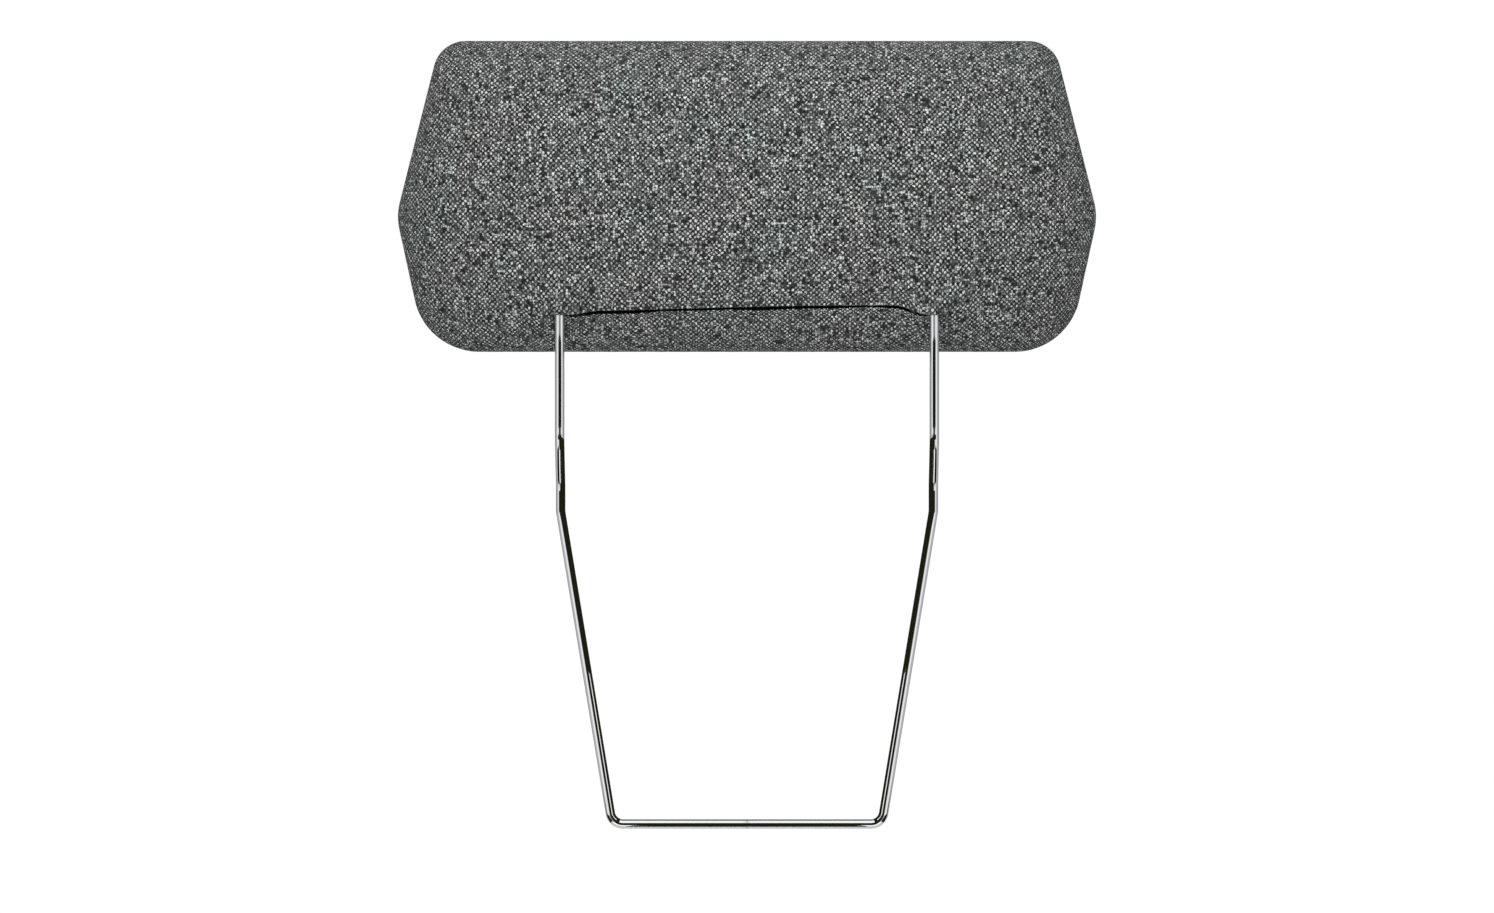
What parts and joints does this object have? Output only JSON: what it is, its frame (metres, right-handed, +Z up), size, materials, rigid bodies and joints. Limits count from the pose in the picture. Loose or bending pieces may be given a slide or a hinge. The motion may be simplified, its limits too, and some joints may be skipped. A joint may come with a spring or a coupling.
{
  "type": "chair headrest attachment",
  "caption": "Padded tilting headrest on a bent chrome rod frame whose lower blade slides behind a seat's back cushion.",
  "frame": {"origin": "middle of the axis of the rod frame's bottom cross bar", "axes": "+Z up along the blade towards the pad; -Y out of the pad's front, the side with the slit where the rods come out; +X to the viewer's right when looking at the front"},
  "size_m": [0.595, 0.1143, 0.6686],
  "materials": {
    "chrome": "bright chrome plate",
    "arm_steel": "zinc-plated sheet steel",
    "bracket_steel": "zinc-plated sheet steel",
    "zinc_steel": "bright zinc plate",
    "spring_steel": "black oxide",
    "yellow_zinc": "yellow zinc plate",
    "friction_plastic": "natural acetal",
    "plywood": "sanded birch plywood",
    "foam": "open-cell foam",
    "wadding": "polyester fleece",
    "cover_fabric": "coarse melange plain weave",
    "hook_tape": "hook tape",
    "loop_tape": "loop tape"
  },
  "bodies": {
    "frame": {"rod_frame": "chrome", "left_swing_arm": "arm_steel", "right_swing_arm": "arm_steel"},
    "headrest": {"core_board": "plywood", "left_hinge_bracket": "bracket_steel", "right_hinge_bracket": "bracket_steel", "left_pivot_bolt": "zinc_steel", "right_pivot_bolt": "zinc_steel", "left_lock_nut": "zinc_steel", "right_lock_nut": "zinc_steel", "disc_springs": "spring_steel", "inner_flat_washers": "zinc_steel", "outer_flat_washers": "zinc_steel", "inner_friction_washers": "friction_plastic", "outer_friction_washers": "friction_plastic", "stop_pins": "spring_steel", "bracket_screws": "zinc_steel", "tee_nuts": "yellow_zinc", "front_foam": "foam", "rear_foam": "foam", "front_wadding": "wadding", "rear_wadding": "wadding", "front_cover": "cover_fabric", "rear_cover": "cover_fabric", "closing_flap": "cover_fabric", "hook_strip": "hook_tape", "loop_strip": "loop_tape"}
  },
  "joints": [
    {"name": "pad_tilt", "type": "hinge", "parent": "frame", "child": "headrest", "pos_m": [0, -0.001, 0.452], "axis": [1, 0, 0], "range_deg": [0, 45]}
  ]
}
